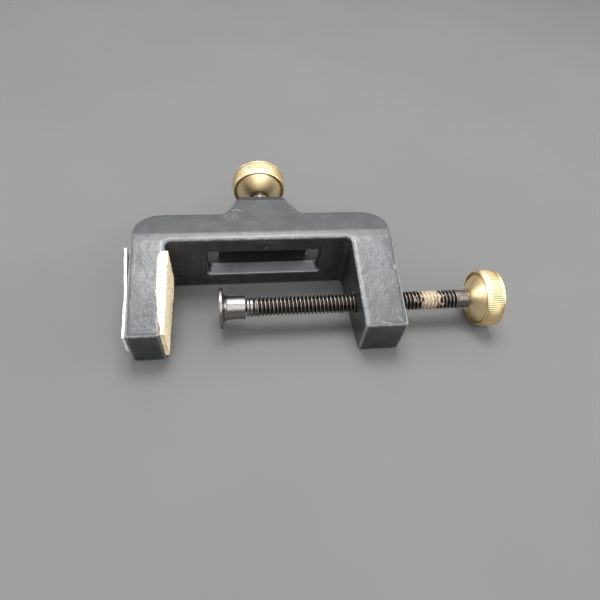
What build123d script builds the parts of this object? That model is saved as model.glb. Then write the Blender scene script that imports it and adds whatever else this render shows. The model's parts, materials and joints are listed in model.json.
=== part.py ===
from build123d import *
import math
import os

# A small bench C-clamp lying on its side: a cast black frame, a clamp screw with a
# swivelling steel pad, and a second thumb screw through a hollow boss on the back.
#
# Design frame (millimetres): X runs along the clamp screw, from the padded jaw to the
# knob.  Y runs from the jaw tips to the back.  Z is across the casting, zero on its
# middle plane.  Every piece is drawn there and then laid down on Z = 0 by lay().

# --- frame casting -------------------------------------------------------------------
FRAME_WIDTH = 86.0          # over both arms, along X
ROOT_THICKNESS = 25.4       # across the casting at the spine
TIP_THICKNESS = 15.2        # across the casting at the jaw tips
ARM_LENGTH = 32.0           # from the spine's inner face to the tips
LEFT_ARM = 11.0             # jaw arm, thickness at the root
RIGHT_ARM = 14.4            # screw arm, thickness at the root
DRAFT = 0.6                 # each inner arm face leans this much over its length
CREST = 3.1                 # flat land along the spine's top and bottom
SPINE_DEPTH = 13.9          # spine's inner face to its back edge
WEB = 5.5                   # wall behind the throat
BACK_FALL = 0.234           # slope of the back, drop per unit of depth
CORNER = 9.0                # outer back corners
EDGE = 0.9                  # rounding of the outer edges
THROAT_CORNER = 1.2         # inside corners between arms and spine
CUT = 1.0                   # how far cutting shapes run past the faces they open

# --- boss on the back ----------------------------------------------------------------
BOSS_END = 24.6             # depth of the boss face
BOSS_ROOT = 13.4            # half width where it leaves the back edge
BOSS_NOSE = 7.8             # half width at its face
BOSS_WALL = 3.4             # side wall, measured along X
WALL_START = 8.6            # depth at which the side walls begin
HOLLOW_END = 17.0           # depth of the hollow
HOLLOW_HALF = 8.0           # half height of the hollow and of the back channels
CHANNEL_END = 34.5          # half length of the two back channels

# --- window in the spine -------------------------------------------------------------
WINDOW_LENGTH = 39.0
WINDOW_HEIGHT = 12.0
WINDOW_CORNER = 1.0
WINDOW_EDGE = 0.5           # rounding of the window's front edges

# --- quarter-inch twenty-pitch threads -----------------------------------------------
THREAD_R = 3.175
THREAD_HOLE_R = 3.225
SHANK_R = 3.0
SPIGOT_R = 2.49
SPIGOT_HOLE_R = 2.5
THREAD_BEVEL = 0.5

# --- clamp screw, along X at this Y --------------------------------------------------
SCREW_Y = -18.2
BALL_X = -10.6
BALL_R = 2.40
NECK_R = 1.5
THREAD_START_X = -4.8
THREAD_END_X = 64.7
KNOB_X = 68.2               # front of the knob's dome

# --- swivel pad ----------------------------------------------------------------------
PAD_FACE_X = -15.6
FLANGE = 1.1
FLANGE_R = 6.7
CUP_R = 3.8
CUP_END_X = -7.3
SOCKET_R = 2.45
MOUTH_R = 2.0               # closed in behind the ball's widest part
MOUTH_END_R = 2.6
CUP_BEVEL = 0.4
CUP_FLARE = 0.5
RING_X = -6.9               # retaining ring
RING = 0.8
RING_R = 3.0
COLLAR = 1.1                # neck collar
COLLAR_R = 3.1
COLLAR_FIT = 0.01           # radial gap of the collar on the neck
RING_FIT = 0.05             # radial gap of the loose ring and of the thrust tip's stem
TURNED_EDGE = 0.2           # broken edges of pad, collar and ring

# --- knobs ---------------------------------------------------------------------------
CLAMP_KNOB_R = 9.6
BACK_KNOB_R = 10.0
RIM = 6.4
DOME = 3.2
DOME_SHORT = 1.3            # the dome ends this far inside the rim
DOME_BULGE_R = 0.62         # the dome's arc passes this share of the way outward
DOME_BULGE_Z = 0.55         # when it has climbed this share of its height: almost a cone
HUB_R = 3.9
KNURLS = 84
KNURL_DEPTH = 0.28
RIM_BEVEL = 0.45
GROOVE = 0.5                # depth of the ring between dome and rim
GROOVE_WIDTH = 0.5
FACE_DISH = 0.4             # shallow turned recess in the outer face
FACE_DISH_R = 7.4

# --- back thumb screw, along Y at X = 0 ----------------------------------------------
TIP_Y = 12.9                # face of the thrust tip
TIP_FLANGE = 1.5
TIP_R = 2.8
TIP_STEM_R = 1.2
TIP_BORE_END = 17.5
TIP_BEVEL = 0.4
TIP_END_GAP = 0.1
BACK_THREAD_Y = 14.5
BACK_SHANK_Y = 29.6
BACK_KNOB_Y = 31.2          # front of the knob's dome

# --- cork and label ------------------------------------------------------------------
CORK = 1.3
CORK_PROUD = 0.8            # above the arm's upper face
CORK_START = -3.9
CORK_BOTTOM = -4.3          # torn lower edge
CORK_TORN = 1.7             # torn lower corner at the back
CORK_TEAR_LENGTH = 3.6
CORK_LIP = (                # outline of the lip lying on the arm
    (-31.4, CORK_START),
    (-33.2, CORK_START),
    (-34.2, -6.2),
    (-34.4, -17.0),
    (-33.5, -27.8),
    (-32.8, -29.0),
    (-31.7, -29.0),
)
LABEL = 0.9
LABEL_START = -1.2
LABEL_END = -31.6
LABEL_STUCK = -17.0         # it has come away from the arm between here and its start
LABEL_LOOSE = 0.9           # and stands off this much there
LABEL_INSET = 0.9
LABEL_TORN = 2.0            # torn lower corner
LABEL_TEAR_LENGTH = 5.0

HALF_WIDTH = FRAME_WIDTH / 2
HALF_ROOT = ROOT_THICKNESS / 2
HALF_TIP = TIP_THICKNESS / 2
JAW_X = -HALF_WIDTH + LEFT_ARM
THROAT_X = HALF_WIDTH - RIGHT_ARM
ARM_SLOPE = (HALF_ROOT - HALF_TIP) / ARM_LENGTH
BOSS_HALF = HALF_ROOT - BACK_FALL * (BOSS_END - CREST)
FLANK = (BOSS_ROOT - BOSS_NOSE) / (BOSS_END - SPINE_DEPTH)

# The casting rests on the sloping underside of its two arms, with the origin on that
# surface in the middle of the footprint.
LEAN = math.degrees(math.atan(ARM_SLOPE))
REST_HEIGHT = HALF_ROOT * math.cos(math.radians(LEAN))
FOOTPRINT_X = 16.5
FOOTPRINT_Y = 4.435


def lay(part, name):
    """Lean the piece onto the undersides of the arms and write it."""
    laid = part.moved(Location((-FOOTPRINT_X, -FOOTPRINT_Y, REST_HEIGHT), (LEAN, 0, 0)))
    laid.label = name
    export_step(laid, "parts/" + name + ".step")


def flank(y):
    """Half width of the boss at a depth."""
    return BOSS_ROOT + FLANK * (SPINE_DEPTH - y)


def arm_top(y):
    """Height of the arms' upper face at a (negative) distance from the spine."""
    return HALF_ROOT + ARM_SLOPE * y


def jaw_face(y):
    """X of the jaw's inner face."""
    return JAW_X + DRAFT * y / ARM_LENGTH


os.makedirs("parts", exist_ok=True)

# --- frame ---------------------------------------------------------------------------
with BuildPart() as frame:
    with BuildSketch(Plane.XY) as plan:
        with BuildLine():
            Polyline(
                (JAW_X, 0),
                (JAW_X - DRAFT, -ARM_LENGTH),
                (-HALF_WIDTH, -ARM_LENGTH),
                (-HALF_WIDTH, SPINE_DEPTH),
                (-BOSS_ROOT, SPINE_DEPTH),
                (-BOSS_NOSE, BOSS_END),
                (BOSS_NOSE, BOSS_END),
                (BOSS_ROOT, SPINE_DEPTH),
                (HALF_WIDTH, SPINE_DEPTH),
                (HALF_WIDTH, -ARM_LENGTH),
                (THROAT_X + DRAFT, -ARM_LENGTH),
                (THROAT_X, 0),
                close=True,
            )
        make_face()
        back = plan.vertices().filter_by_position(Axis.Y, SPINE_DEPTH - 0.1, SPINE_DEPTH + 0.1)
        fillet([v for v in back if abs(v.X) > HALF_WIDTH - CUT], CORNER)
        roots = plan.vertices().filter_by_position(Axis.Y, -0.1, 0.1)
        fillet([v for v in roots if abs(v.X) < HALF_WIDTH - CUT], THROAT_CORNER)
    extrude(amount=HALF_ROOT + CUT, both=True)
    with BuildSketch(Plane.YZ) as side:
        with BuildLine():
            Polyline(
                (-ARM_LENGTH - CUT, HALF_TIP - ARM_SLOPE * CUT),
                (0, HALF_ROOT),
                (CREST, HALF_ROOT),
                (BOSS_END + CUT, BOSS_HALF - BACK_FALL * CUT),
                (BOSS_END + CUT, -BOSS_HALF + BACK_FALL * CUT),
                (CREST, -HALF_ROOT),
                (0, -HALF_ROOT),
                (-ARM_LENGTH - CUT, -HALF_TIP + ARM_SLOPE * CUT),
                close=True,
            )
        make_face()
    extrude(amount=HALF_WIDTH + CUT, both=True, mode=Mode.INTERSECT)
    fillet(frame.edges(), EDGE)

    # Hollow of the boss, open to the window in front.
    with BuildSketch(Plane.XY):
        with BuildLine():
            Polyline(
                (-flank(WEB) + BOSS_WALL, WEB),
                (-flank(HOLLOW_END) + BOSS_WALL, HOLLOW_END),
                (flank(HOLLOW_END) - BOSS_WALL, HOLLOW_END),
                (flank(WEB) - BOSS_WALL, WEB),
                close=True,
            )
        make_face()
    extrude(amount=HOLLOW_HALF, both=True, mode=Mode.SUBTRACT)

    # Passage behind the web, from one back channel to the other.
    with BuildSketch(Plane.XY):
        with Locations((0, (WEB + WALL_START) / 2)):
            Rectangle(2 * flank(WEB) + CUT, WALL_START - WEB)
    extrude(amount=HOLLOW_HALF, both=True, mode=Mode.SUBTRACT)

    # Channels in the back of the spine, one each side of the boss.
    with BuildSketch(Plane.XY):
        with BuildLine():
            Polyline(
                (-CHANNEL_END, WEB),
                (-flank(WEB), WEB),
                (-flank(BOSS_END), BOSS_END),
                (-CHANNEL_END, BOSS_END),
                close=True,
            )
        make_face()
        mirror(about=Plane.YZ)
    extrude(amount=HOLLOW_HALF, both=True, mode=Mode.SUBTRACT)

    # Window through the web.
    with BuildSketch(Plane.XZ.offset(-WEB)):
        RectangleRounded(WINDOW_LENGTH, WINDOW_HEIGHT, WINDOW_CORNER)
    extrude(amount=WEB + CUT, mode=Mode.SUBTRACT)
    mouth = frame.edges().filter_by_position(Axis.Y, -0.01, 0.01)
    around_window = [
        edge for edge in mouth
        if abs(edge.center().Z) < HALF_ROOT / 2 + CUT and abs(edge.center().X) < HALF_WIDTH / 2
    ]
    fillet(around_window, WINDOW_EDGE)

    # Tapped hole of the clamp screw, in the right arm.
    with BuildSketch(Plane.YZ.offset(THROAT_X - CUT)):
        with Locations((SCREW_Y, 0)):
            Circle(THREAD_HOLE_R)
    extrude(amount=RIGHT_ARM + 2 * CUT, mode=Mode.SUBTRACT)

    # Tapped hole of the back screw, in the boss face.
    with BuildSketch(Plane.XZ.offset(-BOSS_END - CUT)):
        Circle(THREAD_HOLE_R)
    extrude(amount=BOSS_END - HOLLOW_END + 2 * CUT, mode=Mode.SUBTRACT)
lay(frame.part, "frame")

# --- cork pad: a sheet on the jaw with a lip over the arm's upper edge ------------------
with BuildPart() as cork_pad:
    with BuildSketch(Plane.XY):
        with BuildLine():
            Polyline(
                (jaw_face(CORK_START), CORK_START),
                (jaw_face(CORK_START) + CORK, CORK_START),
                (jaw_face(-ARM_LENGTH) + CORK, -ARM_LENGTH),
                (jaw_face(-ARM_LENGTH), -ARM_LENGTH),
                close=True,
            )
        make_face()
    extrude(amount=HALF_ROOT + CUT, both=True)
    with BuildSketch(Plane.YZ):
        with BuildLine():
            Polyline(
                (CORK_START, arm_top(CORK_START) + CORK_PROUD),
                (-ARM_LENGTH, HALF_TIP + CORK_PROUD),
                (-ARM_LENGTH, CORK_BOTTOM),
                (CORK_START - CORK_TEAR_LENGTH, CORK_BOTTOM),
                (CORK_START, CORK_BOTTOM + CORK_TORN),
                close=True,
            )
        make_face()
    extrude(amount=HALF_WIDTH, both=True, mode=Mode.INTERSECT)
    with BuildPart(mode=Mode.PRIVATE) as lip:
        with BuildSketch(Plane.XY):
            with BuildLine():
                Polyline(*CORK_LIP, close=True)
            make_face()
        extrude(amount=HALF_ROOT + CUT)
        with BuildSketch(Plane.YZ):
            with BuildLine():
                Polyline(
                    (0, arm_top(0)),
                    (0, arm_top(0) + CORK_PROUD),
                    (-ARM_LENGTH, HALF_TIP + CORK_PROUD),
                    (-ARM_LENGTH, HALF_TIP),
                    close=True,
                )
            make_face()
        extrude(amount=-HALF_WIDTH, mode=Mode.INTERSECT)
    add(lip)
lay(cork_pad.part, "cork_pad")

# --- blank label on the jaw arm's outer face --------------------------------------------
with BuildPart() as outer_label:
    with BuildSketch(Plane.XY):
        with BuildLine():
            Polyline(
                (-HALF_WIDTH - LABEL_LOOSE, LABEL_START),
                (-HALF_WIDTH - LABEL_LOOSE - LABEL, LABEL_START),
                (-HALF_WIDTH - LABEL, LABEL_STUCK),
                (-HALF_WIDTH - LABEL, LABEL_END),
                (-HALF_WIDTH, LABEL_END),
                (-HALF_WIDTH, LABEL_STUCK),
                close=True,
            )
        make_face()
    extrude(amount=HALF_ROOT, both=True)
    with BuildSketch(Plane.YZ):
        with BuildLine():
            Polyline(
                (LABEL_START, arm_top(LABEL_START) - LABEL_INSET),
                (LABEL_END, arm_top(LABEL_END) - LABEL_INSET),
                (LABEL_END, -LABEL_TORN),
                (LABEL_END + LABEL_TEAR_LENGTH, -arm_top(LABEL_END + LABEL_TEAR_LENGTH) + LABEL_INSET),
                (LABEL_START, -arm_top(LABEL_START) + LABEL_INSET),
                close=True,
            )
        make_face()
    extrude(amount=2 * HALF_WIDTH, both=True, mode=Mode.INTERSECT)
lay(outer_label.part, "outer_label")

# --- clamp screw: ball, neck, thread, plain shank and riveted spigot ---------------------
screw_line = Plane(origin=(0, SCREW_Y, 0))
screw_axis = Axis((0, SCREW_Y, 0), (1, 0, 0))
ball_half_angle = math.asin(NECK_R / BALL_R)
ball_shoulder = BALL_R * math.cos(ball_half_angle)

with BuildPart() as clamp_screw:
    with BuildSketch(screw_line):
        with BuildLine():
            ThreePointArc(
                (BALL_X - BALL_R, 0),
                (BALL_X, BALL_R),
                (BALL_X + ball_shoulder, NECK_R),
            )
            Polyline(
                (BALL_X + ball_shoulder, NECK_R),
                (THREAD_START_X, NECK_R),
                (THREAD_START_X, THREAD_R - THREAD_BEVEL),
                (THREAD_START_X + THREAD_BEVEL, THREAD_R),
                (THREAD_END_X, THREAD_R),
                (THREAD_END_X, SHANK_R),
                (KNOB_X, SHANK_R),
                (KNOB_X, SPIGOT_R),
                (KNOB_X + DOME + RIM, SPIGOT_R),
                (KNOB_X + DOME + RIM, 0),
                (BALL_X - BALL_R, 0),
            )
        make_face()
    revolve(axis=screw_axis)
lay(clamp_screw.part, "clamp_screw")

# --- neck collar: bright steel collar against the first thread --------------------------
with BuildPart() as neck_collar:
    with BuildSketch(Plane.YZ.offset(THREAD_START_X - COLLAR)):
        with Locations((SCREW_Y, 0)):
            Circle(COLLAR_R)
            Circle(NECK_R + COLLAR_FIT, mode=Mode.SUBTRACT)
    extrude(amount=COLLAR)
    chamfer(neck_collar.edges().filter_by(GeomType.CIRCLE).group_by(SortBy.RADIUS)[-1], TURNED_EDGE)
lay(neck_collar.part, "neck_collar")

# --- retaining ring: loose on the neck, behind the pad's cup ----------------------------
with BuildPart() as retaining_ring:
    with BuildSketch(Plane.YZ.offset(RING_X)):
        with Locations((SCREW_Y, 0)):
            Circle(RING_R)
            Circle(NECK_R + RING_FIT, mode=Mode.SUBTRACT)
    extrude(amount=RING)
    rim = retaining_ring.edges().filter_by(GeomType.CIRCLE).group_by(SortBy.RADIUS)[-1]
    chamfer(rim, TURNED_EDGE)
lay(retaining_ring.part, "retaining_ring")

# --- swivel pad: flanged cup over the ball ----------------------------------------------
socket_mouth_x = BALL_X + math.sqrt(SOCKET_R ** 2 - MOUTH_R ** 2)

with BuildPart() as swivel_pad:
    with BuildSketch(screw_line):
        with BuildLine():
            Polyline(
                (BALL_X - SOCKET_R, 0),
                (PAD_FACE_X, 0),
                (PAD_FACE_X, FLANGE_R),
                (PAD_FACE_X + FLANGE, FLANGE_R),
                (PAD_FACE_X + FLANGE, CUP_R + CUP_FLARE),
                (PAD_FACE_X + FLANGE + CUP_FLARE, CUP_R),
                (CUP_END_X - CUP_BEVEL, CUP_R),
                (CUP_END_X, CUP_R - CUP_BEVEL),
                (CUP_END_X, MOUTH_END_R),
                (socket_mouth_x, MOUTH_R),
            )
            ThreePointArc(
                (socket_mouth_x, MOUTH_R),
                (BALL_X, SOCKET_R),
                (BALL_X - SOCKET_R, 0),
            )
        make_face()
    revolve(axis=screw_axis)
    rim = swivel_pad.edges().filter_by(GeomType.CIRCLE).group_by(SortBy.RADIUS)[-1]
    chamfer(rim, TURNED_EDGE)
lay(swivel_pad.part, "swivel_pad")


def build_knob(knob_r):
    """Brass knob standing on its dome: hub at Z = 0, knurled rim above it."""
    dome_r = knob_r - DOME_SHORT
    tooth = math.pi / KNURLS
    corners = []
    for step in range(KNURLS):
        angle = 2 * step * tooth
        corners.append((knob_r * math.cos(angle), knob_r * math.sin(angle)))
        valley = knob_r - KNURL_DEPTH
        corners.append((valley * math.cos(angle + tooth), valley * math.sin(angle + tooth)))

    with BuildPart() as knob:
        with BuildSketch(Plane.XY.offset(DOME)):
            with BuildLine():
                Polyline(*corners, close=True)
            make_face()
        extrude(amount=RIM)
        with BuildSketch(Plane.XZ):
            with BuildLine():
                Polyline(
                    (SPIGOT_HOLE_R, DOME),
                    (knob_r - RIM_BEVEL, DOME),
                    (knob_r + 0.1, DOME + RIM_BEVEL + 0.1),
                    (knob_r + 0.1, DOME + RIM - RIM_BEVEL - 0.1),
                    (knob_r - RIM_BEVEL, DOME + RIM),
                    (SPIGOT_HOLE_R, DOME + RIM),
                    close=True,
                )
            make_face()
        revolve(axis=Axis.Z, mode=Mode.INTERSECT)
        with BuildSketch(Plane.XZ):
            with BuildLine():
                Polyline(
                    (dome_r, DOME + GROOVE),
                    (SPIGOT_HOLE_R, DOME + GROOVE),
                    (SPIGOT_HOLE_R, 0),
                    (HUB_R, 0),
                )
                ThreePointArc(
                    (HUB_R, 0),
                    (HUB_R + DOME_BULGE_R * (dome_r - HUB_R), DOME_BULGE_Z * (DOME + GROOVE)),
                    (dome_r, DOME + GROOVE),
                )
            make_face()
        revolve(axis=Axis.Z)
        with BuildSketch(Plane.XZ):
            with BuildLine():
                Polyline(
                    (dome_r, DOME + GROOVE),
                    (dome_r + GROOVE_WIDTH, DOME + GROOVE),
                    (dome_r + GROOVE_WIDTH, DOME - 0.1),
                    (dome_r, DOME - 0.1),
                    close=True,
                )
            make_face()
        revolve(axis=Axis.Z, mode=Mode.SUBTRACT)
        with BuildSketch(Plane.XY.offset(DOME + RIM - FACE_DISH)):
            Circle(FACE_DISH_R)
            Circle(HUB_R, mode=Mode.SUBTRACT)
        extrude(amount=FACE_DISH + 0.1, mode=Mode.SUBTRACT)
    return knob.part


# --- clamp knob -------------------------------------------------------------------------
clamp_mount = Plane(origin=(KNOB_X, SCREW_Y, 0), x_dir=(0, 1, 0), z_dir=(1, 0, 0))
lay(build_knob(CLAMP_KNOB_R).moved(clamp_mount.location), "clamp_knob")

# --- back screw ---------------------------------------------------------------------------
with BuildPart() as back_screw:
    with BuildSketch(Plane.XY):
        with BuildLine():
            Polyline(
                (0, TIP_BORE_END),
                (TIP_STEM_R + RING_FIT, TIP_BORE_END),
                (TIP_STEM_R + RING_FIT, BACK_THREAD_Y),
                (THREAD_R - THREAD_BEVEL, BACK_THREAD_Y),
                (THREAD_R, BACK_THREAD_Y + THREAD_BEVEL),
                (THREAD_R, BACK_SHANK_Y),
                (SHANK_R, BACK_SHANK_Y),
                (SHANK_R, BACK_KNOB_Y),
                (SPIGOT_R, BACK_KNOB_Y),
                (SPIGOT_R, BACK_KNOB_Y + DOME + RIM),
                (0, BACK_KNOB_Y + DOME + RIM),
                close=True,
            )
        make_face()
    revolve(axis=Axis.Y)
lay(back_screw.part, "back_screw")

# --- thrust tip: does not turn with the back screw ----------------------------------------
with BuildPart() as thrust_tip:
    with BuildSketch(Plane.XY):
        with BuildLine():
            Polyline(
                (0, TIP_Y),
                (TIP_R - TIP_BEVEL, TIP_Y),
                (TIP_R, TIP_Y + TIP_BEVEL),
                (TIP_R, TIP_Y + TIP_FLANGE),
                (TIP_STEM_R, TIP_Y + TIP_FLANGE),
                (TIP_STEM_R, TIP_BORE_END - TIP_END_GAP),
                (0, TIP_BORE_END - TIP_END_GAP),
                close=True,
            )
        make_face()
    revolve(axis=Axis.Y)
lay(thrust_tip.part, "thrust_tip")

# --- back knob ------------------------------------------------------------------------------
back_mount = Plane(origin=(0, BACK_KNOB_Y, 0), x_dir=(1, 0, 0), z_dir=(0, 1, 0))
lay(build_knob(BACK_KNOB_R).moved(back_mount.location), "back_knob")
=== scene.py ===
"""Looks of the small bench clamp: casting, screws, knobs, pad, cork and label."""
import json
import math

import bmesh
import bpy
import numpy as np
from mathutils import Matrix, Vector, noise


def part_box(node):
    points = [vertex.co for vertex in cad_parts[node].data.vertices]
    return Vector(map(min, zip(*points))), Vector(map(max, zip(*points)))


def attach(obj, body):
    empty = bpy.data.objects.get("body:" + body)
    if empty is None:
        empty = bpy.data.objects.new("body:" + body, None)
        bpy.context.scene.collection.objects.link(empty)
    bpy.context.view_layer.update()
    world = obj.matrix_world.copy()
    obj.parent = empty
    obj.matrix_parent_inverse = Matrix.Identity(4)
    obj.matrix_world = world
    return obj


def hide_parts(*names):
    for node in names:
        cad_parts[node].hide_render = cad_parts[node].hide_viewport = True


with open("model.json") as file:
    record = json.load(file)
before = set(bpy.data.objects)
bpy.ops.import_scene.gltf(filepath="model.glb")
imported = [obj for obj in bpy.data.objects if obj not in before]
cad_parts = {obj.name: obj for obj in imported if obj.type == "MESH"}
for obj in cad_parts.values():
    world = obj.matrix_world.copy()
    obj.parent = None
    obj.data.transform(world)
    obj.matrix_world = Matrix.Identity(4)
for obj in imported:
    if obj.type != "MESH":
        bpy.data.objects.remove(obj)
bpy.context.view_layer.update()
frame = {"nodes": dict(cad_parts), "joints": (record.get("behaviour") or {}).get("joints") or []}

# --- the design frame, in millimetres, from the joints ----------------------------------
# X runs along the clamp screw, Y from the jaw tips to the back, Z across the casting.
# The origin is on the back screw's axis, BACK_PIVOT_DEPTH in front of its joint.
BACK_PIVOT_DEPTH = 30.0
joints = {joint["name"]: joint for joint in frame["joints"]}
ALONG = Vector((1, 0, 0))
BACK = Vector(joints["back_travel"]["axis"]).normalized()
UP = ALONG.cross(BACK)
AXES = np.array([ALONG, BACK, UP])
ORIGIN = Vector(joints["back_turn"]["pos_m"]) - BACK * BACK_PIVOT_DEPTH / 1000
LEAN = math.atan2(BACK.z, BACK.y)


def place(x, y, z):
    """Row-frame point, in metres, of a design-frame point in millimetres."""
    return ORIGIN + (ALONG * x + BACK * y + UP * z) / 1000


def design(points):
    """Design-frame coordinates, in millimetres, of an array of row-frame points."""
    return (points - np.array(ORIGIN)) @ AXES.T * 1000


BALL_X, SCREW_Y = design(np.array(joints["pad_tilt"]["pos_m"]))[:2]

# --- sizes of the turned pieces, in millimetres -----------------------------------------
PITCH = 1.27
THREAD_R = 3.175
THREAD_DEPTH = 0.72
CREST_FLAT = 0.16           # share of the pitch
ROOT_FLAT = 0.16
RINGS_PER_TURN = 14
SCREW_STEPS = 56            # points around
RESIDUE = (50.2, 59.0)      # stretch of the clamp screw with pale residue
SHANK_R = 3.0
SPIGOT_R = 2.49
PAD_STEPS = 96
RING_STEPS = 72
BALL_R = 2.40
NECK_R = 1.5
CLAMP_KNOB_START = 68.2
CLAMP_KNOB_R = 9.6
BACK_KNOB_START = 31.2
BACK_KNOB_R = 10.0
HUB_R = 3.9
DOME_SHORT = 1.3            # the dome ends this far inside the rim
DOME_BULGE_R = 0.62         # the dome's arc passes this share of the way outward
DOME_BULGE_T = 0.55         # when it has climbed this share of its height
DOME = 3.2                  # height from the hub to the rim
GROOVE = 0.5                # depth of the groove between dome and rim
RIM = 6.398                 # length, a hair under the CAD rim's, to stay inside its box
DISH = 0.4                  # the outer face is sunk this much around its hub
DISH_R = 7.4
KNURLS = 84                 # ridges around
KNURL_DEPTH = 0.14
BORE_R = 2.5

# --- the casting, in millimetres --------------------------------------------------------
CAST_VOXEL = 0.405
LAND = 3.1                  # flat strip along the spine's front edge, painted lighter: partly rubbed wear, partly painted sheen
LAND_WEAR_AND_SHEEN = 0.22
WINDOW_HALF = 19.3
SILL_TAPER = 0.30
SILL_Z = -6.0
WEB = 5.6
BORE_CLEAR = 3.5            # nothing is worn this near a screw's axis
CHANNEL_HALF = 8.3
CHANNEL_END = 34.8
ARM_SLOPE = math.tan(LEAN)
BACK_FALL = 0.234           # slope of the back, drop per unit of depth
FLANK = 0.523               # slope of the boss's sides
# What faces none of these ways is a rounded edge.
FLAT_NORMALS = (
    (1, 0, 0), (-1, 0, 0), (0, 1, 0), (0, -1, 0), (0, 0, 1), (0, 0, -1),
    (0, -ARM_SLOPE, 1), (0, -ARM_SLOPE, -1), (0, BACK_FALL, 1), (0, BACK_FALL, -1),
    (1, FLANK, 0), (-1, FLANK, 0),
)


# --- mesh helpers -----------------------------------------------------------------------
def finish_piece(piece, body, material, sharp):
    """Shade, paint and hang a new piece on its body. Edges over sharp degrees stay crisp."""
    piece.data.materials.clear()
    piece.data.materials.append(material)
    piece.data.shade_smooth()
    piece.data.set_sharp_from_angle(angle=math.radians(sharp))
    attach(piece, body)
    return piece


def new_object(name, vertices, faces):
    mesh = bpy.data.meshes.new(name)
    mesh.from_pydata(vertices, [], faces)
    shape = bmesh.new()
    shape.from_mesh(mesh)
    bmesh.ops.recalc_face_normals(shape, faces=shape.faces)
    shape.to_mesh(mesh)
    shape.free()
    piece = bpy.data.objects.new(name, mesh)
    bpy.context.scene.collection.objects.link(piece)
    return piece


def rounded(corners, steps):
    """Round the corners (t, r, radius) of a profile into short arcs of (t, r) points."""
    points = []
    count = len(corners)
    for index, (t, r, radius) in enumerate(corners):
        here = np.array((t, r), float)
        if radius <= 0:
            points.append((t, r))
            continue
        before = np.array(corners[index - 1][:2], float) - here
        after = np.array(corners[(index + 1) % count][:2], float) - here
        before /= np.linalg.norm(before)
        after /= np.linalg.norm(after)
        half = math.acos(float(np.clip(before @ after, -1, 1))) / 2
        reach = radius / math.tan(half)
        middle = (before + after) / np.linalg.norm(before + after)
        centre = here + middle * radius / math.sin(half)
        first = here + before * reach - centre
        last = here + after * reach - centre
        for step in range(steps + 1):
            share = step / steps
            arm = first * (1 - share) + last * share
            points.append(tuple(centre + arm / np.linalg.norm(arm) * radius))
    return points


def arc_through(first, middle, last, steps):
    """Points of the circular arc through three (t, r) points, without its first point."""
    (ax, ay), (bx, by), (cx, cy) = first, middle, last
    d = 2 * (ax * (by - cy) + bx * (cy - ay) + cx * (ay - by))
    sa, sb, sc = ax * ax + ay * ay, bx * bx + by * by, cx * cx + cy * cy
    ux = (sa * (by - cy) + sb * (cy - ay) + sc * (ay - by)) / d
    uy = (sa * (cx - bx) + sb * (ax - cx) + sc * (bx - ax)) / d
    radius = math.hypot(ax - ux, ay - uy)
    start = math.atan2(ay - uy, ax - ux)
    sweep = math.atan2(cy - uy, cx - ux) - start
    sweep = (sweep + math.pi) % (2 * math.pi) - math.pi
    angles = [start + sweep * step / steps for step in range(1, steps + 1)]
    return [(ux + radius * math.cos(a), uy + radius * math.sin(a)) for a in angles]


def turned(name, origin, axis, profile, steps, closed=False, shape=None):
    """Body of revolution about axis: profile is (t, r) in mm, shape(t, r, angle) varies r.
    Stores each point's distance along the profile, for turning marks."""
    axis = axis.normalized()
    side = ALONG if abs(axis.dot(ALONG)) < 0.5 else BACK
    other = axis.cross(side)
    vertices, rings, marks = [], [], []
    path = 0.0
    for index, (t, r) in enumerate(profile):
        if index:
            path += math.hypot(t - profile[index - 1][0], r - profile[index - 1][1])
        if r < 1e-6:
            rings.append([len(vertices)])
            vertices.append(origin + axis * t / 1000)
            marks.append(path)
            continue
        ring = []
        for step in range(steps):
            angle = 2 * math.pi * step / steps
            radius = shape(t, r, angle) if shape else r
            ring.append(len(vertices))
            arm = side * math.cos(angle) + other * math.sin(angle)
            vertices.append(origin + (axis * t + arm * radius) / 1000)
            marks.append(path)
        rings.append(ring)
    faces = []
    pairs = list(zip(rings, rings[1:]))
    if closed:
        pairs.append((rings[-1], rings[0]))
    for low, high in pairs:
        for step in range(steps):
            after = (step + 1) % steps
            if len(low) == 1:
                faces.append((low[0], high[after], high[step]))
            elif len(high) == 1:
                faces.append((low[step], low[after], high[0]))
            else:
                faces.append((low[step], low[after], high[after], high[step]))
    piece = new_object(name, vertices, faces)
    store(piece, "turning", marks)
    return piece


def store(piece, name, values):
    """Keep one number per point for the material to read."""
    layer = piece.data.attributes.new(name=name, type="FLOAT", domain="POINT")
    layer.data.foreach_set("value", np.asarray(values, np.float32))


def coordinates(mesh):
    flat = np.zeros(len(mesh.vertices) * 3)
    mesh.vertices.foreach_get("co", flat)
    return flat.reshape(-1, 3)


def vertex_normals(mesh):
    flat = np.zeros(len(mesh.vertices) * 3)
    mesh.vertex_normals.foreach_get("vector", flat)
    return flat.reshape(-1, 3)


def design_normals(piece):
    return vertex_normals(piece.data) @ AXES.T


def grain(points, size, offset=0.0):
    """Smooth noise, about -0.5 to 0.5, with features of the given size in mm."""
    scaled = points / size + offset
    return np.array([noise.noise(Vector(p)) for p in scaled])


def ease(value, low, high):
    """0 at low, 1 at high, and smooth between them."""
    part = np.clip((value - low) / (high - low), 0, 1)
    return part * part * (3 - 2 * part)


def lift(piece):
    """Keep every point a hair above the floor."""
    points = coordinates(piece.data)
    points[:, 2] = np.maximum(points[:, 2], 1e-6)
    piece.data.vertices.foreach_set("co", points.ravel())
    piece.data.update()


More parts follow.
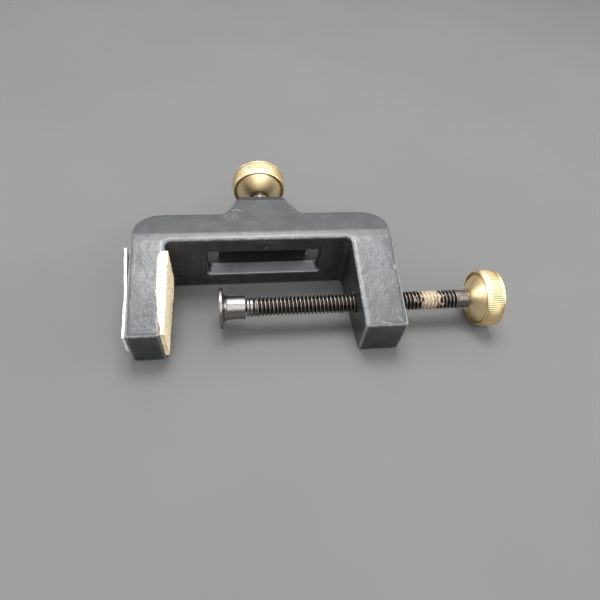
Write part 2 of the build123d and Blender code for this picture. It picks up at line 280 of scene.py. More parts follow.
def voxel_copy(node, name, voxel):
    """Even, closed copy of a CAD node for torn or crumbly pieces."""
    source = bpy.data.objects.new(name + "_source", frame["nodes"][node].data.copy())
    bpy.context.scene.collection.objects.link(source)
    weld = source.modifiers.new("weld", "WELD")
    weld.merge_threshold = 2e-6
    remesh = source.modifiers.new("remesh", "REMESH")
    remesh.mode = "VOXEL"
    remesh.voxel_size = voxel / 1000
    graph = bpy.context.evaluated_depsgraph_get()
    mesh = bpy.data.meshes.new_from_object(source.evaluated_get(graph))
    bpy.data.objects.remove(source)
    mesh.name = name
    piece = bpy.data.objects.new(name, mesh)
    bpy.context.scene.collection.objects.link(piece)
    return piece


def spread(piece, values, rounds):
    """Blur one number per point along the mesh's edges."""
    ends = np.zeros(len(piece.data.edges) * 2, int)
    piece.data.edges.foreach_get("vertices", ends)
    first, second = ends.reshape(-1, 2).T
    count = np.bincount(ends, minlength=len(values))
    for _ in range(rounds):
        total = np.bincount(first, values[second], len(values))
        total += np.bincount(second, values[first], len(values))
        values = 0.4 * values + 0.6 * total / np.maximum(count, 1)
    return values


def local_mean(piece, rounds):
    """Each point's place, averaged with its neighbours' in this many rounds, in metres."""
    points = coordinates(piece.data)
    return np.column_stack([spread(piece, points[:, axis], rounds) for axis in range(3)])


def smooth(piece, rounds):
    """Even out the ripple that voxels leave on slanted faces."""
    piece.data.vertices.foreach_set("co", local_mean(piece, rounds).ravel())
    piece.data.update()


def bulging(piece, rounds):
    """True at points on convex edges, which stand above the mean of their surroundings."""
    sunk = (local_mean(piece, rounds) - coordinates(piece.data)) * vertex_normals(piece.data)
    return sunk.sum(axis=1) * 1000 < -0.02


def push(piece, depth):
    """Move each point inward along its normal by depth, in mm."""
    points = coordinates(piece.data)
    moved = points - vertex_normals(piece.data) * np.asarray(depth)[:, None] / 1000
    piece.data.vertices.foreach_set("co", moved.ravel())
    piece.data.update()


# --- node helpers -----------------------------------------------------------------------
def new_material(name):
    material = bpy.data.materials.new(name)
    material.use_nodes = True
    tree = material.node_tree
    return material, tree, tree.nodes["Principled BSDF"]


def put(tree, kind, values=None, **settings):
    """Add a node; values sets its inputs to a number, a colour or another node's output."""
    made = tree.nodes.new(kind)
    for key, value in settings.items():
        setattr(made, key, value)
    for key, value in (values or {}).items():
        if isinstance(value, bpy.types.NodeSocket):
            tree.links.new(value, made.inputs[key])
        else:
            made.inputs[key].default_value = value
    return made


def maths(tree, operation, *values):
    return put(tree, "ShaderNodeMath", dict(enumerate(values)), operation=operation).outputs[0]


def vectors(tree, operation, *values):
    return put(tree, "ShaderNodeVectorMath", dict(enumerate(values)), operation=operation)


def blotches(tree, where, scale, detail, rough):
    values = {"Vector": where, "Scale": scale, "Detail": detail, "Roughness": rough}
    return put(tree, "ShaderNodeTexNoise", values).outputs["Fac"]


def span(tree, value, low, high, out_low=0.0, out_high=1.0):
    values = {0: value, 1: low, 2: high, 3: out_low, 4: out_high}
    return put(tree, "ShaderNodeMapRange", values, interpolation_type="SMOOTHSTEP").outputs[0]


def blend(tree, factor, first, second):
    made = put(tree, "ShaderNodeMix", data_type="RGBA")
    for key, value in ((0, factor), (6, first), (7, second)):
        if isinstance(value, bpy.types.NodeSocket):
            tree.links.new(value, made.inputs[key])
        else:
            made.inputs[key].default_value = value
    return made.outputs[2]


def attribute(tree, name):
    return put(tree, "ShaderNodeAttribute", attribute_name=name).outputs["Fac"]


def design_coordinates(tree):
    """Rest-pose design coordinates in millimetres."""
    where = put(tree, "ShaderNodeTexCoord").outputs["Object"]
    moved = vectors(tree, "SUBTRACT", where, tuple(ORIGIN)).outputs[0]
    values = {"Vector": moved, "Angle": -LEAN}
    level = put(tree, "ShaderNodeVectorRotate", values, rotation_type="X_AXIS").outputs[0]
    return vectors(tree, "MULTIPLY", level, (1000.0, 1000.0, 1000.0)).outputs[0]


def rough_surface(tree, shader, height, distance, strength, onto=None):
    values = {"Height": height, "Distance": distance / 1000, "Strength": strength}
    if onto is not None:
        values["Normal"] = onto
    bump = put(tree, "ShaderNodeBump", values).outputs[0]
    tree.links.new(bump, shader.inputs["Normal"])
    return bump


def near_segment(tree, where, start, end, width):
    """1 on the line from start to end, falling to 0 at width away from it."""
    run = Vector(end) - Vector(start)
    offset = vectors(tree, "SUBTRACT", where, tuple(start)).outputs[0]
    unit = tuple(run / max(run.length_squared, 1e-6))
    along = vectors(tree, "DOT_PRODUCT", offset, unit).outputs["Value"]
    along = put(tree, "ShaderNodeClamp", {0: along}).outputs[0]
    values = {0: tuple(run), "Scale": along}
    scaled = put(tree, "ShaderNodeVectorMath", values, operation="SCALE").outputs[0]
    gap = vectors(tree, "DISTANCE", offset, scaled).outputs["Value"]
    return span(tree, gap, width, width * 0.3)


# --- materials --------------------------------------------------------------------------
PAINT_DARK = (0.011, 0.012, 0.014, 1)
PAINT_LIGHT = (0.022, 0.025, 0.028, 1)
PAINT_DUST = (0.20, 0.20, 0.19, 1)
# Lighter edge colours: partly worn paint, partly painted highlight.
PAINT_WORN_AND_HIGHLIGHT = (0.140, 0.146, 0.150, 1)
PAINT_RUBBED_AND_HIGHLIGHT = (0.24, 0.245, 0.25, 1)
BARE_IRON = (0.42, 0.42, 0.40, 1)
SCRATCHED = (0.44, 0.44, 0.42, 1)
# Painted light: bluish grey laid on the window sill where light falls through the window.
SILL_PAINTED_LIGHT = (0.190, 0.198, 0.215, 1)
# Painted shade: near-black colour laid on the hollow behind the web.
PAINTED_HOLLOW_SHADE = (0.002, 0.002, 0.002, 1)
CORK_DEEP = (0.88, 0.70, 0.44, 1)
CORK_PALE = (0.96, 0.82, 0.57, 1)
CORK_BROAD = (0.94, 0.80, 0.56, 1)
CORK_SEAM = (0.58, 0.41, 0.22, 1)
CORK_PIT = (0.42, 0.28, 0.14, 1)
PAPER_CLEAN = (0.92, 0.92, 0.90, 1)
PAPER_SOILED = (0.70, 0.68, 0.63, 1)
PAPER_FIBRE = (0.96, 0.96, 0.94, 1)
BRASS_BRIGHT = (0.98, 0.79, 0.47, 1)
BRASS_TARNISHED = (0.91, 0.67, 0.34, 1)
BRASS_SPOT = (0.50, 0.34, 0.15, 1)
# Darker brass for the knurl valleys and, as painted shade, the groove between dome and rim.
BRASS_VALLEY_AND_GROOVE_SHADE = (0.40, 0.25, 0.10, 1)
THREAD_BLACK = (0.036, 0.031, 0.028, 1)
THREAD_BROWN = (0.085, 0.062, 0.050, 1)
# Lighter crest colour: partly rubbed steel, partly painted highlight.
THREAD_CREST_WEAR_AND_HIGHLIGHT = (0.42, 0.385, 0.35, 1)
THREAD_RESIDUE = (0.66, 0.53, 0.38, 1)
STEEL_CLEAN = (0.27, 0.262, 0.25, 1)
STEEL_STAINED = (0.21, 0.192, 0.178, 1)
STEEL_SPOT = (0.14, 0.10, 0.085, 1)
SCRATCHES = (               # start, end, half width, strength
    ((-2.4, 0, 10.8), (5.2, 0, 10.7), 0.22, 0.30),
    ((1.6, 0, 9.6), (6.3, 0, 9.8), 0.16, 0.21),
    ((-20.5, 0, 5.2), (-20.9, 0, -3.6), 0.24, 0.12),
    ((0.2, 0, 7.6), (0.5, 0, 8.1), 0.45, 0.42),
    ((-7.2, 0, -6.4), (-6.2, 0, -6.9), 0.40, 0.30),
    ((-5.9, 0, -7.8), (-3.9, 0, -7.4), 0.25, 0.21),
    ((-31.2, 0, -7.2), (-30.8, 0, -7.6), 0.45, 0.36),
    ((-15.8, 0, -8.4), (-12.6, 0, -8.9), 0.22, 0.22),
    ((-11.4, 0, -10.6), (-8.8, 0, -10.2), 0.18, 0.20),
    ((4.4, 0, -8.3), (7.8, 0, -8.0), 0.20, 0.20),
    ((-26.6, 0, -9.0), (-24.8, 0, -10.4), 0.22, 0.24),
    ((-34.6, 0, 7.8), (-33.2, 0, 6.2), 0.22, 0.20),
    ((-19.9, 0, -7.4), (-18.4, 0, -8.2), 0.30, 0.24),
    ((-24.0, 0, 11.2), (-22.6, 0, 11.6), 0.25, 0.24),
    ((28.8, -9.0, 1.6), (29.0, -14.8, 4.6), 0.22, 0.30),
    ((28.8, -10.4, 0.2), (29.0, -15.6, 2.6), 0.16, 0.24),
    ((28.8, -7.6, 3.4), (29.0, -12.8, 6.2), 0.14, 0.18),
    ((-33.9, -26.4, 8.4), (-32.7, -31.6, 7.7), 0.55, 0.27),
    ((-43.0, -9.6, 10.6), (-42.7, -12.6, 10.2), 0.55, 0.54),
    ((-42.9, -22.0, 8.7), (-42.5, -26.4, 8.1), 0.50, 0.54),
    ((41.6, -11.2, 10.9), (41.8, -12.4, 10.7), 0.55, 0.36),
    ((34.2, -30.6, 7.8), (37.4, -31.2, 7.7), 0.45, 0.24),
    ((39.8, -29.2, 8.0), (41.0, -30.4, 7.8), 0.45, 0.24),
)
CHIPPED_CORNER = (-10.6, 14.4, 9.8)     # light specks beside the boss, on the jaw side
CHIPPED_REACH = 6.0


def cast_black():
    """Black satin paint on a casting, scratched, and lighter on its edges: partly rubbed wear,
    partly painted highlight.
    """
    material, tree, shader = new_material("cast_black")
    where = design_coordinates(tree)
    edge = attribute(tree, "edge_wear_and_highlight")
    pits = blotches(tree, where, 1.9, 4.0, 0.6)
    cloud = blotches(tree, where, 0.16, 4.0, 0.6)
    speck = blotches(tree, where, 2.6, 2.0, 0.5)
    dust = maths(tree, "MULTIPLY", span(tree, speck, 0.58, 0.68), span(tree, cloud, 0.38, 0.62))
    colour = blend(tree, span(tree, cloud, 0.35, 0.70), PAINT_DARK, PAINT_LIGHT)
    colour = blend(tree, maths(tree, "MULTIPLY", dust, 0.5), colour, PAINT_DUST)
    # Edges painted lighter in two bands: partly rubbed wear, partly painted highlight.
    patchy = span(tree, pits, 0.30, 0.60, 0.4, 1.0)
    worn_and_highlight = maths(tree, "MULTIPLY", attribute(tree, "near_edge_wear_and_highlight"), patchy)
    colour = blend(tree, span(tree, worn_and_highlight, 0.05, 0.42, 0.0, 0.85), colour, PAINT_WORN_AND_HIGHLIGHT)
    patchy = span(tree, blotches(tree, where, 0.7, 3.0, 0.5), 0.30, 0.62)
    rubbed_and_highlight = maths(tree, "MULTIPLY", edge, patchy)
    colour = blend(tree, maths(tree, "MULTIPLY", rubbed_and_highlight, 0.85), colour, PAINT_RUBBED_AND_HIGHLIGHT)
    patchy = span(tree, blotches(tree, where, 1.3, 3.0, 0.6), 0.56, 0.64)
    colour = blend(tree, maths(tree, "MULTIPLY", edge, patchy), colour, BARE_IRON)
    ragged = blotches(tree, where, 3.2, 3.0, 0.6)
    marks = None
    for start, end, width, strength in SCRATCHES:
        mark = maths(tree, "MULTIPLY", near_segment(tree, where, start, end, width), strength)
        marks = mark if marks is None else maths(tree, "MAXIMUM", marks, mark)
    marks = maths(tree, "MULTIPLY", marks, span(tree, ragged, 0.34, 0.52))
    corner_gap = vectors(tree, "DISTANCE", where, CHIPPED_CORNER).outputs["Value"]
    flecks = maths(
        tree, "MULTIPLY",
        span(tree, corner_gap, CHIPPED_REACH, CHIPPED_REACH * 0.3),
        span(tree, blotches(tree, where, 1.5, 3.0, 0.65), 0.58, 0.66),
    )
    marks = maths(tree, "MAXIMUM", marks, maths(tree, "MULTIPLY", flecks, 0.8))
    colour = blend(tree, marks, colour, SCRATCHED)
    # Painted light: the window sill is painted a lighter bluish grey, in patches.
    patchy = span(tree, cloud, 0.25, 0.60, 0.6, 1.0)
    sill_light = maths(tree, "MULTIPLY", attribute(tree, "sill"), patchy)
    colour = blend(tree, sill_light, colour, SILL_PAINTED_LIGHT)
    # Painted shade: the hollow behind the web is painted near-black.
    colour = blend(tree, attribute(tree, "hollow_painted_shade"), colour, PAINTED_HOLLOW_SHADE)
    tree.links.new(colour, shader.inputs["Base Color"])
    rough = span(tree, pits, 0.3, 0.75, 0.28, 0.46)
    matt = maths(tree, "MULTIPLY", maths(tree, "ADD", dust, marks), 0.2)
    rough = maths(tree, "ADD", rough, matt)
    matt = maths(tree, "MULTIPLY", attribute(tree, "hollow_painted_shade"), 0.5)
    rough = maths(tree, "ADD", rough, matt)
    tree.links.new(rough, shader.inputs["Roughness"])
    shader.inputs["Specular IOR Level"].default_value = 0.86
    shader.inputs["IOR"].default_value = 1.54
    soft = rough_surface(tree, shader, cloud, 0.25, 0.5)
    rough_surface(tree, shader, pits, 0.055, 0.8, soft)
    return material


def cork_sheet():
    """Pale cork: packed granules with darker seams and pits."""
    material, tree, shader = new_material("cork")
    where = design_coordinates(tree)
    values = {"Vector": where, "Scale": 0.85, "Randomness": 1.0}
    cells = put(tree, "ShaderNodeTexVoronoi", values, feature="F1")
    seams = put(tree, "ShaderNodeTexVoronoi", values, feature="DISTANCE_TO_EDGE")
    seams = seams.outputs["Distance"]
    tone = put(tree, "ShaderNodeSeparateColor", {0: cells.outputs["Color"]}).outputs[0]
    fine = blotches(tree, where, 2.8, 4.0, 0.65)
    broad = blotches(tree, where, 0.22, 3.0, 0.6)
    colour = blend(tree, tone, CORK_DEEP, CORK_PALE)
    colour = blend(tree, span(tree, broad, 0.35, 0.65), colour, CORK_BROAD)
    colour = blend(tree, span(tree, seams, 0.07, 0.0, 0.0, 0.45), colour, CORK_SEAM)
    colour = blend(tree, span(tree, fine, 0.62, 0.76, 0.0, 0.55), colour, CORK_PIT)
    tree.links.new(colour, shader.inputs["Base Color"])
    shader.inputs["Roughness"].default_value = 0.9
    shader.inputs["Specular IOR Level"].default_value = 0.25
    height = maths(tree, "ADD", span(tree, seams, 0.0, 0.16), fine)
    rough_surface(tree, shader, height, 0.06, 0.7)
    return material


def blank_paper():
    """White paper, a little soiled."""
    material, tree, shader = new_material("blank_paper")
    where = design_coordinates(tree)
    drawn_out = vectors(tree, "MULTIPLY", where, (1.0, 0.35, 1.0)).outputs[0]
    fibres = blotches(tree, drawn_out, 3.5, 5.0, 0.7)
    soil = blotches(tree, where, 0.30, 4.0, 0.65)
    colour = blend(tree, span(tree, soil, 0.45, 0.75), PAPER_CLEAN, PAPER_SOILED)
    colour = blend(tree, span(tree, fibres, 0.55, 0.75), colour, PAPER_FIBRE)
    tree.links.new(colour, shader.inputs["Base Color"])
    shader.inputs["Roughness"].default_value = 0.82
    shader.inputs["Specular IOR Level"].default_value = 0.3
    rough_surface(tree, shader, fibres, 0.05, 0.7)
    return material


def turning_marks(tree, density):
    """Fine rings left by the lathe, following the profile."""
    path = attribute(tree, "turning")
    values = {"W": path, "Scale": density, "Detail": 3.0, "Roughness": 0.7}
    return put(tree, "ShaderNodeTexNoise", values, noise_dimensions="1D").outputs["Fac"]


def knob_brass():
    """Turned brass, warm and patchily tarnished, darker in its knurl valleys, with painted shade
    in the groove by the rim.
    """
    material, tree, shader = new_material("knob_brass")
    where = design_coordinates(tree)
    rings = turning_marks(tree, 9.0)
    tarnish = blotches(tree, where, 0.35, 4.0, 0.65)
    fine = blotches(tree, where, 2.2, 4.0, 0.6)
    colour = blend(tree, span(tree, tarnish, 0.40, 0.70), BRASS_BRIGHT, BRASS_TARNISHED)
    spots = maths(tree, "MULTIPLY", span(tree, fine, 0.58, 0.78), 0.25)
    colour = blend(tree, spots, colour, BRASS_SPOT)
    colour = blend(tree, attribute(tree, "valley"), colour, BRASS_VALLEY_AND_GROOVE_SHADE)
    tree.links.new(colour, shader.inputs["Base Color"])
    shader.inputs["Metallic"].default_value = 1.0
    tree.links.new(span(tree, tarnish, 0.3, 0.75, 0.31, 0.41), shader.inputs["Roughness"])
    rough_surface(tree, shader, maths(tree, "ADD", rings, fine), 0.012, 0.6)
    return material


def thread_steel():
    """Blackened steel, lighter towards the crests: partly rubbed wear, partly painted highlight;
    with pale residue in one stretch.
    """
    material, tree, shader = new_material("thread_steel")
    where = design_coordinates(tree)
    crest_wear_and_highlight = attribute(tree, "crest_wear_and_highlight")
    residue = attribute(tree, "residue")
    patches = blotches(tree, where, 0.5, 4.0, 0.65)
    fine = blotches(tree, where, 3.0, 4.0, 0.7)
    colour = blend(tree, span(tree, patches, 0.35, 0.7), THREAD_BLACK, THREAD_BROWN)
    bright = maths(tree, "MULTIPLY", crest_wear_and_highlight, span(tree, fine, 0.30, 0.62))
    colour = blend(tree, bright, colour, THREAD_CREST_WEAR_AND_HIGHLIGHT)
    stain = maths(tree, "MULTIPLY", residue, span(tree, fine, 0.36, 0.52))
    colour = blend(tree, stain, colour, THREAD_RESIDUE)
    tree.links.new(colour, shader.inputs["Base Color"])
    tree.links.new(span(tree, stain, 0.0, 1.0, 1.0, 0.1), shader.inputs["Metallic"])
    rough = span(tree, fine, 0.3, 0.7, 0.28, 0.44)
    rough = maths(tree, "ADD", rough, maths(tree, "MULTIPLY", stain, 0.4))
    tree.links.new(rough, shader.inputs["Roughness"])
    rough_surface(tree, shader, fine, 0.02, 0.6)
    return material


def bright_steel():
    """Turned steel, worn bright, with faint brown staining."""
    material, tree, shader = new_material("bright_steel")
    where = design_coordinates(tree)
    rings = turning_marks(tree, 7.0)
    stain = blotches(tree, where, 0.45, 4.0, 0.65)
    fine = blotches(tree, where, 3.0, 4.0, 0.65)
    colour = blend(tree, span(tree, stain, 0.42, 0.72), STEEL_CLEAN, STEEL_STAINED)
    colour = blend(tree, span(tree, fine, 0.66, 0.82, 0.0, 0.5), colour, STEEL_SPOT)
    tree.links.new(colour, shader.inputs["Base Color"])
    shader.inputs["Metallic"].default_value = 1.0
    tree.links.new(span(tree, stain, 0.3, 0.75, 0.26, 0.36), shader.inputs["Roughness"])
    rough_surface(tree, shader, maths(tree, "ADD", rings, fine), 0.005, 0.6)
    return material


BLACK = cast_black()
CORK = cork_sheet()
PAPER = blank_paper()
BRASS = knob_brass()
THREAD = thread_steel()
STEEL = bright_steel()


# --- casting ----------------------------------------------------------------------------
def build_casting():
    """The frame with soft cast edges, and numbers for wear and for painted light and shade at
    each point.
    """
    piece = voxel_copy("frame", "frame_casting", CAST_VOXEL)
    smooth(piece, 2)
    points = design(coordinates(piece.data))
    x, y, z = points.T
    normals = design_normals(piece)
    flats = np.array([flat / np.linalg.norm(flat) for flat in np.array(FLAT_NORMALS, float)])
    edge = ease(1 - (normals @ flats.T).max(axis=1), 0.02, 0.20) * bulging(piece, 5)
    # The window's top and side edges get little of the lighter edge colour, which is partly wear
    # and partly painted highlight.
    around_window = (np.abs(x) < WINDOW_HALF + 2) & (z > SILL_Z + 1.2) & (z < 8.5) & (y < 1.5)
    edge[around_window] *= 0.12
    # Convex edges, painted lighter: partly rubbed wear, partly painted highlight.
    store(piece, "edge_wear_and_highlight", edge)
    # The land strip and the band near edges are painted lighter: partly wear, partly painted
    # sheen and highlight.
    on_land = (y > -0.6) & (y < LAND + 0.4) & (np.abs(z) > 12)
    land_wear_and_sheen = LAND_WEAR_AND_SHEEN * spread(piece, on_land.astype(float), 4)
    store(piece, "near_edge_wear_and_highlight", np.maximum(spread(piece, edge, 9), land_wear_and_sheen))
    # The lit patch of sill narrows towards the web; it is painted lighter as painted light.
    within_sill = (np.abs(x) < WINDOW_HALF - SILL_TAPER * y) & (y > -0.2) & (y < WEB)
    store(piece, "sill", within_sill & (np.abs(z - SILL_Z) < 0.4))
    # The hollow behind the web, painted near-black as painted shade and made rougher.
    store(piece, "hollow_painted_shade", (y > WEB) & (np.abs(z) < CHANNEL_HALF) & (np.abs(x) < CHANNEL_END))
    dents = ease(grain(points, 1.6), 0.22, 0.45) * edge * 0.10
    uneven = (grain(points, 7.0, 3.1) + 0.5) * 0.06 + (grain(points, 2.0, 9.7) + 0.5) * 0.02
    in_clamp_bore = np.hypot(y - SCREW_Y, z) < BORE_CLEAR
    in_back_bore = np.hypot(x, z) < BORE_CLEAR
    resting = coordinates(piece.data)[:, 2] < 0.0002
    push(piece, (dents + uneven) * ~(in_clamp_bore | in_back_bore | resting))
    lift(piece)
    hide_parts("frame")
    return finish_piece(piece, "casting", BLACK, 75)


# --- cork and label ---------------------------------------------------------------------
CORK_VOXEL = 0.28
LABEL_VOXEL = 0.2
LIP_X = -33.0               # the lip over the arm's upper edge lies beyond this


def build_cork():
    """Torn cork sheet: crumbly outline, granular faces."""
    piece = voxel_copy("cork_pad", "cork_sheet", CORK_VOXEL)
    points = design(coordinates(piece.data))
    normals = design_normals(piece)
    against_arm = normals[:, 0] < -0.6
    over_arm = points[:, 2] > 6
    free = ~(against_arm | ((normals[:, 2] < -0.6) & over_arm))
    rim = ease(np.maximum(np.abs(normals[:, 1]), np.abs(normals[:, 2])), 0.35, 0.8)
    lip_end = (points[:, 0] < LIP_X) & (normals[:, 0] < -0.3) & over_arm
    torn = (grain(points, 2.6, 5.0) + 0.45) * 0.6 + (grain(points, 0.9, 1.0) + 0.4) * 0.25
    pits = ease(grain(points, 1.5, 2.0), 0.22, 0.42) * 0.20
    rough = (grain(points, 0.8, 7.0) + 0.5) * 0.10 + pits
    on_top = normals[:, 2] > 0.6
    depth = rough + np.clip(torn, 0, 1.0) * rim * np.where(on_top, 0.25, 0.8)
    depth = depth * free
    depth[lip_end] = np.clip(torn[lip_end], 0, 0.9) * 0.7
    push(piece, depth)
    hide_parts("cork_pad")
    return finish_piece(piece, "casting", CORK, 80)


def build_label():
    """Blank label with torn edges."""
    piece = voxel_copy("outer_label", "paper_label", LABEL_VOXEL)
    points = design(coordinates(piece.data))
    normals = design_normals(piece)
    rim = ease(np.maximum(np.abs(normals[:, 1]), np.abs(normals[:, 2])), 0.3, 0.8)
    torn = (grain(points, 2.2, 4.0) + 0.45) * 0.6 + (grain(points, 0.7, 8.0) + 0.4) * 0.35
    outer = normals[:, 0] < -0.5
    layers = (grain(points, 3.0, 6.0) + 0.5) * 0.22
    push(piece, np.clip(torn, 0, 0.8) * rim + layers * outer)
    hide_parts("outer_label")
    return finish_piece(piece, "casting", PAPER, 60)


# --- screws -----------------------------------------------------------------------------
def thread_shape(start, end):
    """Return a shape() for turned(): a right-hand thread that fades over a turn at its ends."""
    def shape(t, r, angle):
        if t < start or t > end or r < THREAD_R - 0.6:
            return r
        phase = (t / PITCH - angle / (2 * math.pi)) % 1.0
        away = abs(phase - 0.5) * 2
        rise = (away - CREST_FLAT) / (1 - CREST_FLAT - ROOT_FLAT)
        cut = 1 - min(max(rise, 0.0), 1.0)
        fade = min(1.0, (t - start) / PITCH, (end - t) / PITCH)
        return r - THREAD_DEPTH * cut * max(fade, 0.0)
    return shape


def thread_rings(start, end):
    """Closely spaced rings over the threaded length."""
    count = int((end - start) / PITCH * RINGS_PER_TURN)
    return [(start + (end - start) * k / count, THREAD_R) for k in range(count + 1)]


def mark_thread(piece, origin, axis, start, end, plain, residue=None):
    """Store how near each point is to the crest, and where residue clings. Crests and flanks are
    painted lighter, partly as rubbed wear and partly as painted highlight. Beyond the thread the
    steel is as bright as plain says."""
    offset = (coordinates(piece.data) - np.array(origin)) * 1000
    t = offset @ np.array(axis)
    radial = offset - t[:, None] * np.array(axis)
    radius = np.linalg.norm(radial, axis=1)
    inside = (t > start) & (t < end)
    # Painted lighter towards the crest, flanks a little: partly rubbed wear, partly painted
    # highlight.
    flank = 0.30 * ease(radius, THREAD_R - 0.62, THREAD_R - 0.20)
    crest_wear_and_highlight = flank + 0.60 * ease(radius, THREAD_R - 0.16, THREAD_R - 0.02)
    store(piece, "crest_wear_and_highlight", np.where(inside, crest_wear_and_highlight, plain))
    amount = np.zeros(len(t))
    if residue is not None:
        low, high = residue
        ragged = grain(offset, 1.3, 4.0) * 2.2
        middle = 1 - np.abs((t - (low + high) / 2) / ((high - low) / 2))
        amount = ease(middle + ragged * 0.35, 0.05, 0.45) * inside
    store(piece, "residue", amount)


def spigot(knob_start, end):
    """Profile from the shank's end through the knob to the riveted end."""
    return [
        (knob_start - 0.02, SHANK_R), (knob_start, SPIGOT_R),
        (end - 0.3, SPIGOT_R), (end - 0.1, SPIGOT_R - 0.12), (end, SPIGOT_R - 0.4), (end, 0),
    ]


def build_clamp_screw():
    origin = place(0, SCREW_Y, 0)
    thread_start, thread_end = -4.8, 64.7
    end = design(np.array([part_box("clamp_screw")[1]]))[0][0] - 0.002
    shoulder = math.acos(math.sqrt(1 - (NECK_R / BALL_R) ** 2))
    profile = [(BALL_X - BALL_R, 0)]
    for step in range(1, 15):
        angle = math.pi - (math.pi - shoulder) * step / 14
        profile.append((BALL_X + BALL_R * math.cos(angle), BALL_R * math.sin(angle)))
    profile += [(thread_start - 0.25, NECK_R), (thread_start - 0.001, NECK_R)]
    profile += [(thread_start, 2.4), (thread_start + 0.2, 2.75), (thread_start + 0.45, 3.05)]
    profile += thread_rings(thread_start + 0.6, thread_end)
    profile += [(thread_end + 0.02, SHANK_R)] + spigot(CLAMP_KNOB_START, end)
    shape = thread_shape(thread_start + 0.6, thread_end)
    piece = turned("clamp_screw_threaded", origin, ALONG, profile, SCREW_STEPS, shape=shape)
    mark_thread(piece, origin, ALONG, thread_start + 0.6, thread_end, 0.60, RESIDUE)
    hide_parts("clamp_screw")
    return finish_piece(piece, "clamp_spindle", THREAD, 50)


def build_back_screw():
    origin = place(0, 0, 0)
    bore_end, bore_r = 17.5, 1.25
    thread_start, thread_end, end = 14.5, 29.6, 40.8
    profile = [(bore_end, 0), (bore_end, bore_r), (thread_start, bore_r), (thread_start, 2.5)]
    profile += [(thread_start + 0.3, 2.9), (thread_start + 0.5, 3.1)]
    profile += thread_rings(thread_start + 0.6, thread_end)
    profile += [(thread_end + 0.02, SHANK_R)] + spigot(BACK_KNOB_START, end)
    shape = thread_shape(thread_start + 0.6, thread_end)
    piece = turned("back_screw_threaded", origin, BACK, profile, SCREW_STEPS, shape=shape)
    # Painted shade: the back screw's plain shank is painted almost black, for the shadow beside
    # the hub.
    mark_thread(piece, origin, BACK, thread_start + 0.6, thread_end, 0.05)
    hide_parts("back_screw")
    return finish_piece(piece, "back_spindle", THREAD, 50)


# --- knobs ------------------------------------------------------------------------------
def build_knob(name, node, origin, axis, body, knob_r):
    """Brass knob from its hub, at origin, over the dome and the knurled rim to its outer face."""
    def knurl(_, r, angle):
        """Straight knurl cut into the rim, fading out on its bevels."""
        depth = KNURL_DEPTH * min(max((r - knob_r) / 0.4 + 1, 0.0), 1.0)
        return r - depth * (0.5 - 0.5 * math.cos(angle * KNURLS))

    dome_r = knob_r - DOME_SHORT
    dome_top = (DOME + GROOVE, dome_r)
    bulge = (DOME_BULGE_T * (DOME + GROOVE), HUB_R + DOME_BULGE_R * (dome_r - HUB_R))
    profile = [(0, BORE_R), (0, HUB_R - 0.05), (0.03, HUB_R)]
    profile += arc_through((0, HUB_R), bulge, dome_top, 18)
    profile += rounded([
        (DOME + GROOVE, dome_r + 0.45, 0.12),
        (DOME, dome_r + 0.5, 0.10),
        (DOME, knob_r - 0.45, 0.08),
        (DOME + 0.45, knob_r, 0.18),
    ], 3)
    profile += [(DOME + 0.45 + (RIM - 0.9) * k / 6, knob_r) for k in range(1, 6)]
    profile += rounded([
        (DOME + RIM - 0.45, knob_r, 0.18),
        (DOME + RIM, knob_r - 0.45, 0.15),
        (DOME + RIM, DISH_R, 0.12),
        (DOME + RIM - DISH, DISH_R - 0.1, 0.12),
        (DOME + RIM - DISH, HUB_R + 0.1, 0.12),
        (DOME + RIM, HUB_R, 0.12),
        (DOME + RIM, BORE_R, 0),
    ], 3)
    piece = turned(name, origin, axis, profile, KNURLS * 8, closed=True, shape=knurl)
    offset = (coordinates(piece.data) - np.array(origin)) * 1000
    t = offset @ np.array(axis)
    radius = np.linalg.norm(offset - t[:, None] * np.array(axis), axis=1)
    on_rim = (t > DOME + 0.4) & (t < DOME + RIM - 0.4) & (radius > knob_r - 0.5)
    valley = on_rim * ease(knob_r - radius, 0.04, KNURL_DEPTH) * 0.35
    # Painted shade: the groove between dome and rim is painted darker.
    groove_shade = (np.abs(radius - dome_r - 0.25) < 0.4) & (t > 2.6) & (t < 4.2)
    store(piece, "valley", np.maximum(valley, groove_shade * 0.5))
    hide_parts(node)
    return finish_piece(piece, body, BRASS, 40)


# --- pad, ring and collar ---------------------------------------------------------------
def build_pad():
    """Flanged cup whose socket holds the screw's ball."""
    face, flange_end, cup_end = -15.6, -14.5, -7.3
    flange_r, cup_r = 6.7, 3.8
    socket_r, mouth_r = 2.45, 2.0
    mouth_t = BALL_X + math.sqrt(socket_r ** 2 - mouth_r ** 2)
    corners = [
        (face, 0, 0),
        (face, flange_r, 0.32),
        (flange_end, flange_r, 0.32),
        (flange_end, cup_r, 1.9),
        (cup_end, cup_r, 0.35),
        (cup_end, 2.6, 0.1),
        (mouth_t, mouth_r, 0),
    ]
    profile = rounded(corners, 8)
    profile += arc_through((mouth_t, mouth_r), (BALL_X, socket_r), (BALL_X - socket_r, 0), 14)
    profile[-1] = (BALL_X - socket_r, 0)
    piece = turned("swivel_pad_turned", place(0, SCREW_Y, 0), ALONG, profile, PAD_STEPS)
    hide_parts("swivel_pad")
    return finish_piece(piece, "pad", STEEL, 50)


def build_washer(name, node, body, radius, bore, edge):
    """Turned ring over the length of its CAD node."""
    low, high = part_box(node)
    start = design(np.array([low]))[0][0]
    end = design(np.array([high]))[0][0]
    corners = [(start, bore, 0), (start, radius, edge), (end, radius, edge), (end, bore, 0)]
    profile = rounded(corners, 4)
    piece = turned(name, place(0, SCREW_Y, 0), ALONG, profile, RING_STEPS, closed=True)
    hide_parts(node)
    return finish_piece(piece, body, STEEL, 50)


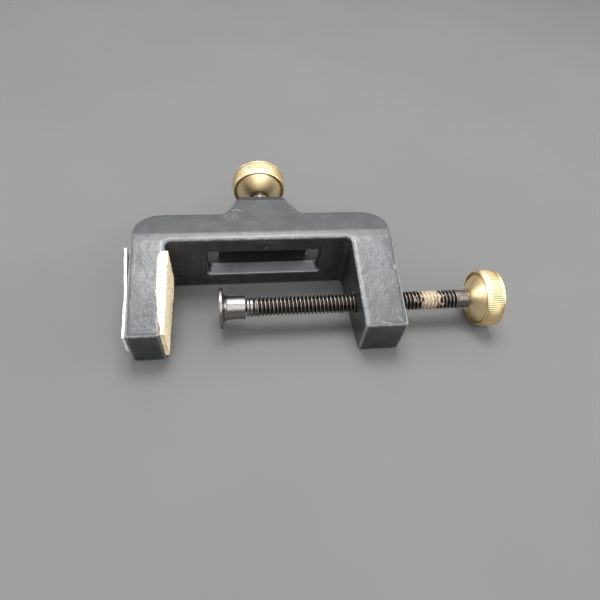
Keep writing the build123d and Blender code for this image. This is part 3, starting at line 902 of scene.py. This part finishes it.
build_casting()
build_cork()
build_label()
build_clamp_screw()
build_back_screw()
build_knob(
    "clamp_knob_knurled", "clamp_knob", place(CLAMP_KNOB_START, SCREW_Y, 0), ALONG,
    "clamp_spindle", CLAMP_KNOB_R,
)
build_knob(
    "back_knob_knurled", "back_knob", place(0, BACK_KNOB_START, 0), BACK,
    "back_spindle", BACK_KNOB_R,
)
build_pad()
build_washer("retaining_ring_turned", "retaining_ring", "pad_carrier", 3.0, 1.55, 0.25)
build_washer("neck_collar_turned", "neck_collar", "clamp_spindle", 3.1, 1.51, 0.30)
tip = frame["nodes"]["thrust_tip"]
tip.data.materials.clear()
tip.data.materials.append(STEEL)


# --- floor, light and camera ------------------------------------------------------------
FLOOR_SIZE = 8.0
FLOOR_DARK, FLOOR_PALE = (0.146, 0.147, 0.145, 1), (0.156, 0.156, 0.153, 1)
LIGHTS = (                  # name, degrees around and up, distance, size, watts
    ("front", 12, 52, 0.75, (0.92, 0.62), 3.7),
    ("overhead", 180, 77, 0.65, (0.34, 0.28), 4.4),
    ("back", 180, 40, 0.90, (0.80, 0.35), 1.3),
    ("side", 88, 24, 0.75, (0.40, 0.30), 2.2),
    ("left", 265, 30, 0.75, (0.40, 0.30), 1.4),
)
ROOM_COLOUR = (0.97, 0.985, 1.0, 1)
ROOM_LOW, ROOM_HIGH = 0.16, 0.68        # strength at the horizon and overhead
CAMERA_PLACE = (-0.02614, -0.13072, 0.13076)
CAMERA_TURN = (42.760, -3.758, -6.455)
CAMERA_LENS, CAMERA_SENSOR = 29.75, 36.0


def build_floor():
    material, tree, shader = new_material("floor")
    where = put(tree, "ShaderNodeTexCoord").outputs["Object"]
    soft = blotches(tree, where, 9.0, 3.0, 0.5)
    colour = blend(tree, span(tree, soft, 0.3, 0.7), FLOOR_DARK, FLOOR_PALE)
    tree.links.new(colour, shader.inputs["Base Color"])
    shader.inputs["Roughness"].default_value = 0.9
    shader.inputs["Specular IOR Level"].default_value = 0.2
    bpy.ops.mesh.primitive_plane_add(size=FLOOR_SIZE, location=(0, 0, 0))
    floor = bpy.context.object
    floor.name = "floor"
    floor.data.materials.append(material)


def add_light(name, around, up, distance, size, power):
    """Area light facing the clamp: degrees around from the camera's side, and up."""
    around, up = math.radians(around), math.radians(up)
    level = distance * math.cos(up)
    height = distance * math.sin(up)
    position = Vector((level * math.sin(around), -level * math.cos(around), height))
    light = bpy.data.lights.new(name, "AREA")
    light.shape = "RECTANGLE"
    light.size, light.size_y = size
    light.energy = power
    lamp = bpy.data.objects.new(name, light)
    lamp.location = position
    lamp.rotation_euler = (-position).to_track_quat("-Z", "Y").to_euler()
    bpy.context.scene.collection.objects.link(lamp)


def build_world():
    """Pale room, darker towards the horizon."""
    world = bpy.data.worlds.new("studio")
    bpy.context.scene.world = world
    world.use_nodes = True
    tree = world.node_tree
    where = put(tree, "ShaderNodeTexCoord").outputs["Generated"]
    height = put(tree, "ShaderNodeSeparateXYZ", {0: where}).outputs["Z"]
    background = tree.nodes["Background"]
    background.inputs["Color"].default_value = ROOM_COLOUR
    strength = span(tree, height, 0.05, 0.60, ROOM_LOW, ROOM_HIGH)
    tree.links.new(strength, background.inputs["Strength"])


def build_camera():
    data = bpy.data.cameras.new("camera")
    data.sensor_width = CAMERA_SENSOR
    data.lens = CAMERA_LENS
    camera = bpy.data.objects.new("camera", data)
    camera.location = CAMERA_PLACE
    camera.rotation_euler = tuple(math.radians(angle) for angle in CAMERA_TURN)
    data.clip_start = 0.01
    bpy.context.scene.collection.objects.link(camera)
    bpy.context.scene.camera = camera


build_floor()
for light in LIGHTS:
    add_light(*light)
build_world()
build_camera()
bpy.context.scene.view_settings.view_transform = "Standard"
